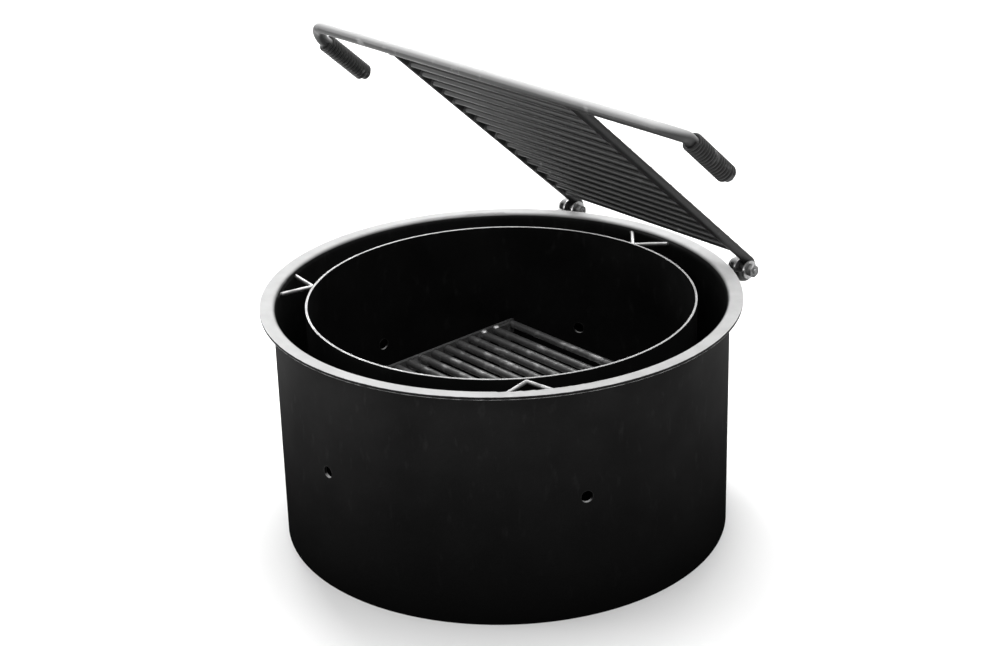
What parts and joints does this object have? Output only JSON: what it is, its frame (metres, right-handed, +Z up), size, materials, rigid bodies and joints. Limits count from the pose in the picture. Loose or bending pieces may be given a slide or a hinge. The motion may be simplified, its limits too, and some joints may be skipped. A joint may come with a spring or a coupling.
{
  "type": "fire ring grill",
  "caption": "Round double-walled steel fire ring with a raised fire grate and a hinged cooking grate that swings up on a handle with coiled-wire grips.",
  "frame": {"origin": "on the ground at the centre of the ring", "axes": "+Z up; +Y towards the hinge at the back; the hinge axis and the grate bars run along X"},
  "size_m": [0.837, 0.762, 0.7648],
  "materials": {
    "shell_paint": "semi-gloss black heat-resistant paint",
    "liner_paint": "semi-gloss black heat-resistant paint",
    "grate_steel": "satin dark steel rod",
    "spring_steel": "satin dark coiled wire",
    "fire_steel": "satin dark steel bar",
    "bright_steel": "bare drawn steel",
    "hardware": "dark plated bolt steel"
  },
  "bodies": {
    "ring": {"outer_shell": "shell_paint", "inner_liner": "liner_paint", "spacer_rod_rear": "bright_steel", "spacer_rod_left": "bright_steel", "spacer_rod_right": "bright_steel", "hinge_lug_left": "shell_paint", "hinge_lug_right": "shell_paint", "hinge_bolt_left": "hardware", "hinge_bolt_right": "hardware", "hinge_washers_left": "bright_steel", "hinge_washers_right": "bright_steel", "hinge_nut_left": "hardware", "hinge_nut_right": "hardware"},
    "cooking_grate": {"grate_rail_left": "grate_steel", "grate_rail_right": "grate_steel", "cross_bar_01": "grate_steel", "cross_bar_02": "grate_steel", "cross_bar_03": "grate_steel", "cross_bar_04": "grate_steel", "cross_bar_05": "grate_steel", "cross_bar_06": "grate_steel", "cross_bar_07": "grate_steel", "cross_bar_08": "grate_steel", "cross_bar_09": "grate_steel", "cross_bar_10": "grate_steel", "cross_bar_11": "grate_steel", "cross_bar_12": "grate_steel", "cross_bar_13": "grate_steel", "cross_bar_14": "grate_steel", "cross_bar_15": "grate_steel", "cross_bar_16": "grate_steel", "handle_bar": "grate_steel", "grip_spring_left": "spring_steel", "grip_spring_right": "spring_steel"},
    "fire_grate": {"fire_bar_01": "fire_steel", "fire_bar_02": "fire_steel", "fire_bar_03": "fire_steel", "fire_bar_04": "fire_steel", "fire_bar_05": "fire_steel", "fire_bar_06": "fire_steel", "fire_bar_07": "fire_steel", "fire_bar_08": "fire_steel", "fire_bar_09": "fire_steel", "fire_bar_10": "fire_steel", "fire_bar_11": "fire_steel", "fire_bar_12": "fire_steel", "fire_bar_13": "fire_steel", "fire_bar_14": "fire_steel", "fire_bar_15": "fire_steel", "fire_frame_left": "fire_steel", "fire_frame_right": "fire_steel", "fire_leg_rear_left": "fire_steel", "fire_leg_rear_right": "fire_steel", "fire_leg_front_left": "fire_steel", "fire_leg_front_right": "fire_steel"}
  },
  "joints": [
    {"name": "cooking_grate_hinge", "type": "hinge", "parent": "ring", "child": "cooking_grate", "pos_m": [0, 0.35272, 0.38395], "axis": [-1, 0, 0], "range_deg": [-42.2, 179]},
    {"name": "fire_grate_lift", "type": "slide", "parent": "ring", "child": "fire_grate", "axis": [0, 0, 1], "range_m": [0, 0.165]}
  ]
}
